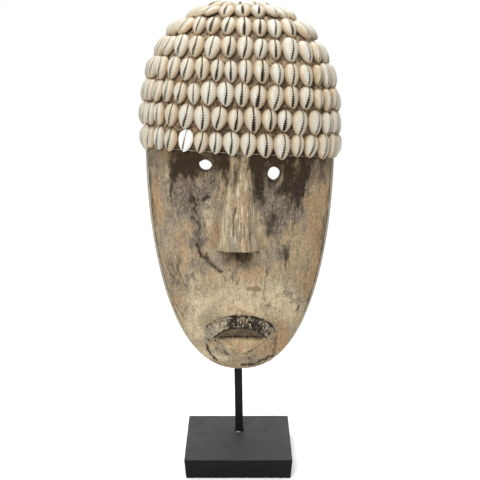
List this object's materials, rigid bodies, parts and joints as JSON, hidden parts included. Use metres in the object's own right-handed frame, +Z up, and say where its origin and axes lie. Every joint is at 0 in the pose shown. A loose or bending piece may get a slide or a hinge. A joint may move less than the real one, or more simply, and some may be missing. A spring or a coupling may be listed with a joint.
{
  "type": "carved mask on a stand",
  "caption": "Carved wooden face mask with a domed cap of cowrie shells, hollow behind, held on a square rod in a black block.",
  "frame": {"origin": "centre of the block's underside", "axes": "+X to the viewer's right, +Y away from the viewer, +Z up; the face looks along -Y"},
  "size_m": [0.1915, 0.1126, 0.4506],
  "materials": {
    "mask_wood": "weathered, bare, with grey and dark brown patches and worn black paint on the upper lip",
    "cowrie": "natural shell, satin to glossy, ivory with tan edges",
    "rod": "satin black paint",
    "block": "matt black paint"
  },
  "bodies": {
    "root": {"base_block": "block", "support_rod": "rod", "wooden_mask": "mask_wood", "shell_row_1": "cowrie", "shell_row_2": "cowrie", "shell_row_3": "cowrie", "shell_row_4": "cowrie", "shell_row_5": "cowrie", "shell_row_6": "cowrie", "shell_row_7": "cowrie", "shell_row_8": "cowrie"}
  },
  "joints": []
}
